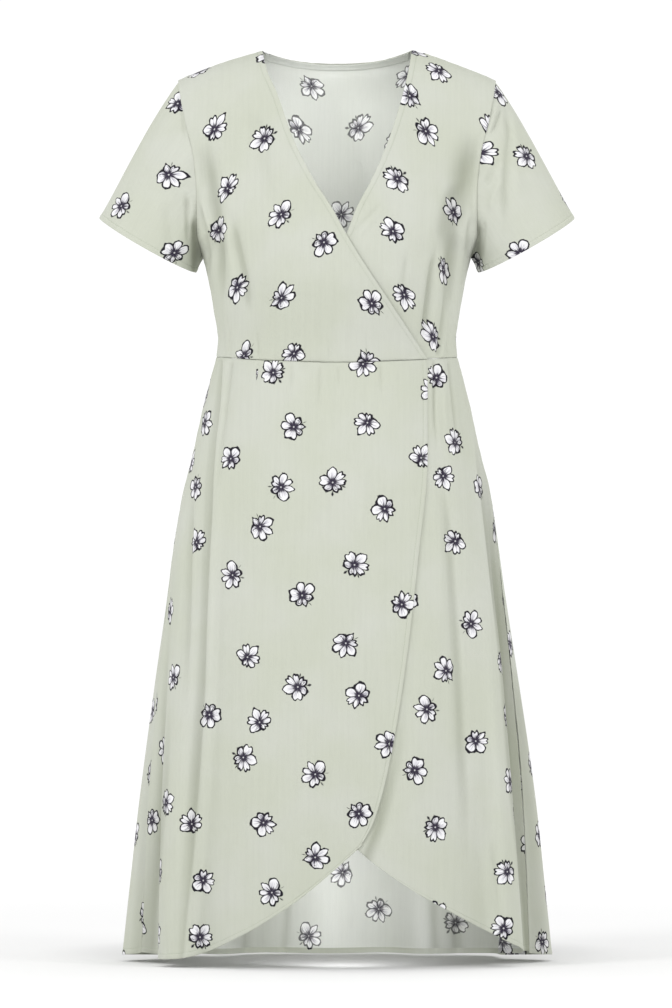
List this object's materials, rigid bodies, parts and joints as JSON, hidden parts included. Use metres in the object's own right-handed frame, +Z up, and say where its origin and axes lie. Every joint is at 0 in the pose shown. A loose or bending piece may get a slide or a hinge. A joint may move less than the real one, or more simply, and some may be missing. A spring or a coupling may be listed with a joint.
{
  "type": "a-line wrap dress",
  "caption": "Short-sleeved A-line wrap dress with a crossed V-neck, a waist seam and a tulip hem, filled out and hollow.",
  "frame": {"origin": "midway between the two neck points of the shoulder seams, where the wearer's shoulders hold the dress up", "axes": "+X to the wearer's left, -Y to the front, +Z up"},
  "size_m": [0.552, 0.3666, 1.0595],
  "materials": {
    "bodice_front_over": "matte sage viscose with small white flowers",
    "bodice_front_under": "matte sage viscose with small white flowers",
    "bodice_back": "matte sage viscose with small white flowers",
    "back_neck_facing": "matte sage viscose",
    "sleeve_right": "matte sage viscose with small white flowers",
    "sleeve_left": "matte sage viscose with small white flowers",
    "skirt_front_over": "matte sage viscose with small white flowers",
    "skirt_front_under": "matte sage viscose with small white flowers",
    "skirt_back": "matte sage viscose with small white flowers"
  },
  "bodies": {
    "root": {"bodice_front_over": "bodice_front_over", "bodice_front_under": "bodice_front_under", "bodice_back": "bodice_back", "back_neck_facing": "back_neck_facing", "sleeve_right": "sleeve_right", "sleeve_left": "sleeve_left", "skirt_front_over": "skirt_front_over", "skirt_front_under": "skirt_front_under", "skirt_back": "skirt_back"}
  },
  "joints": []
}
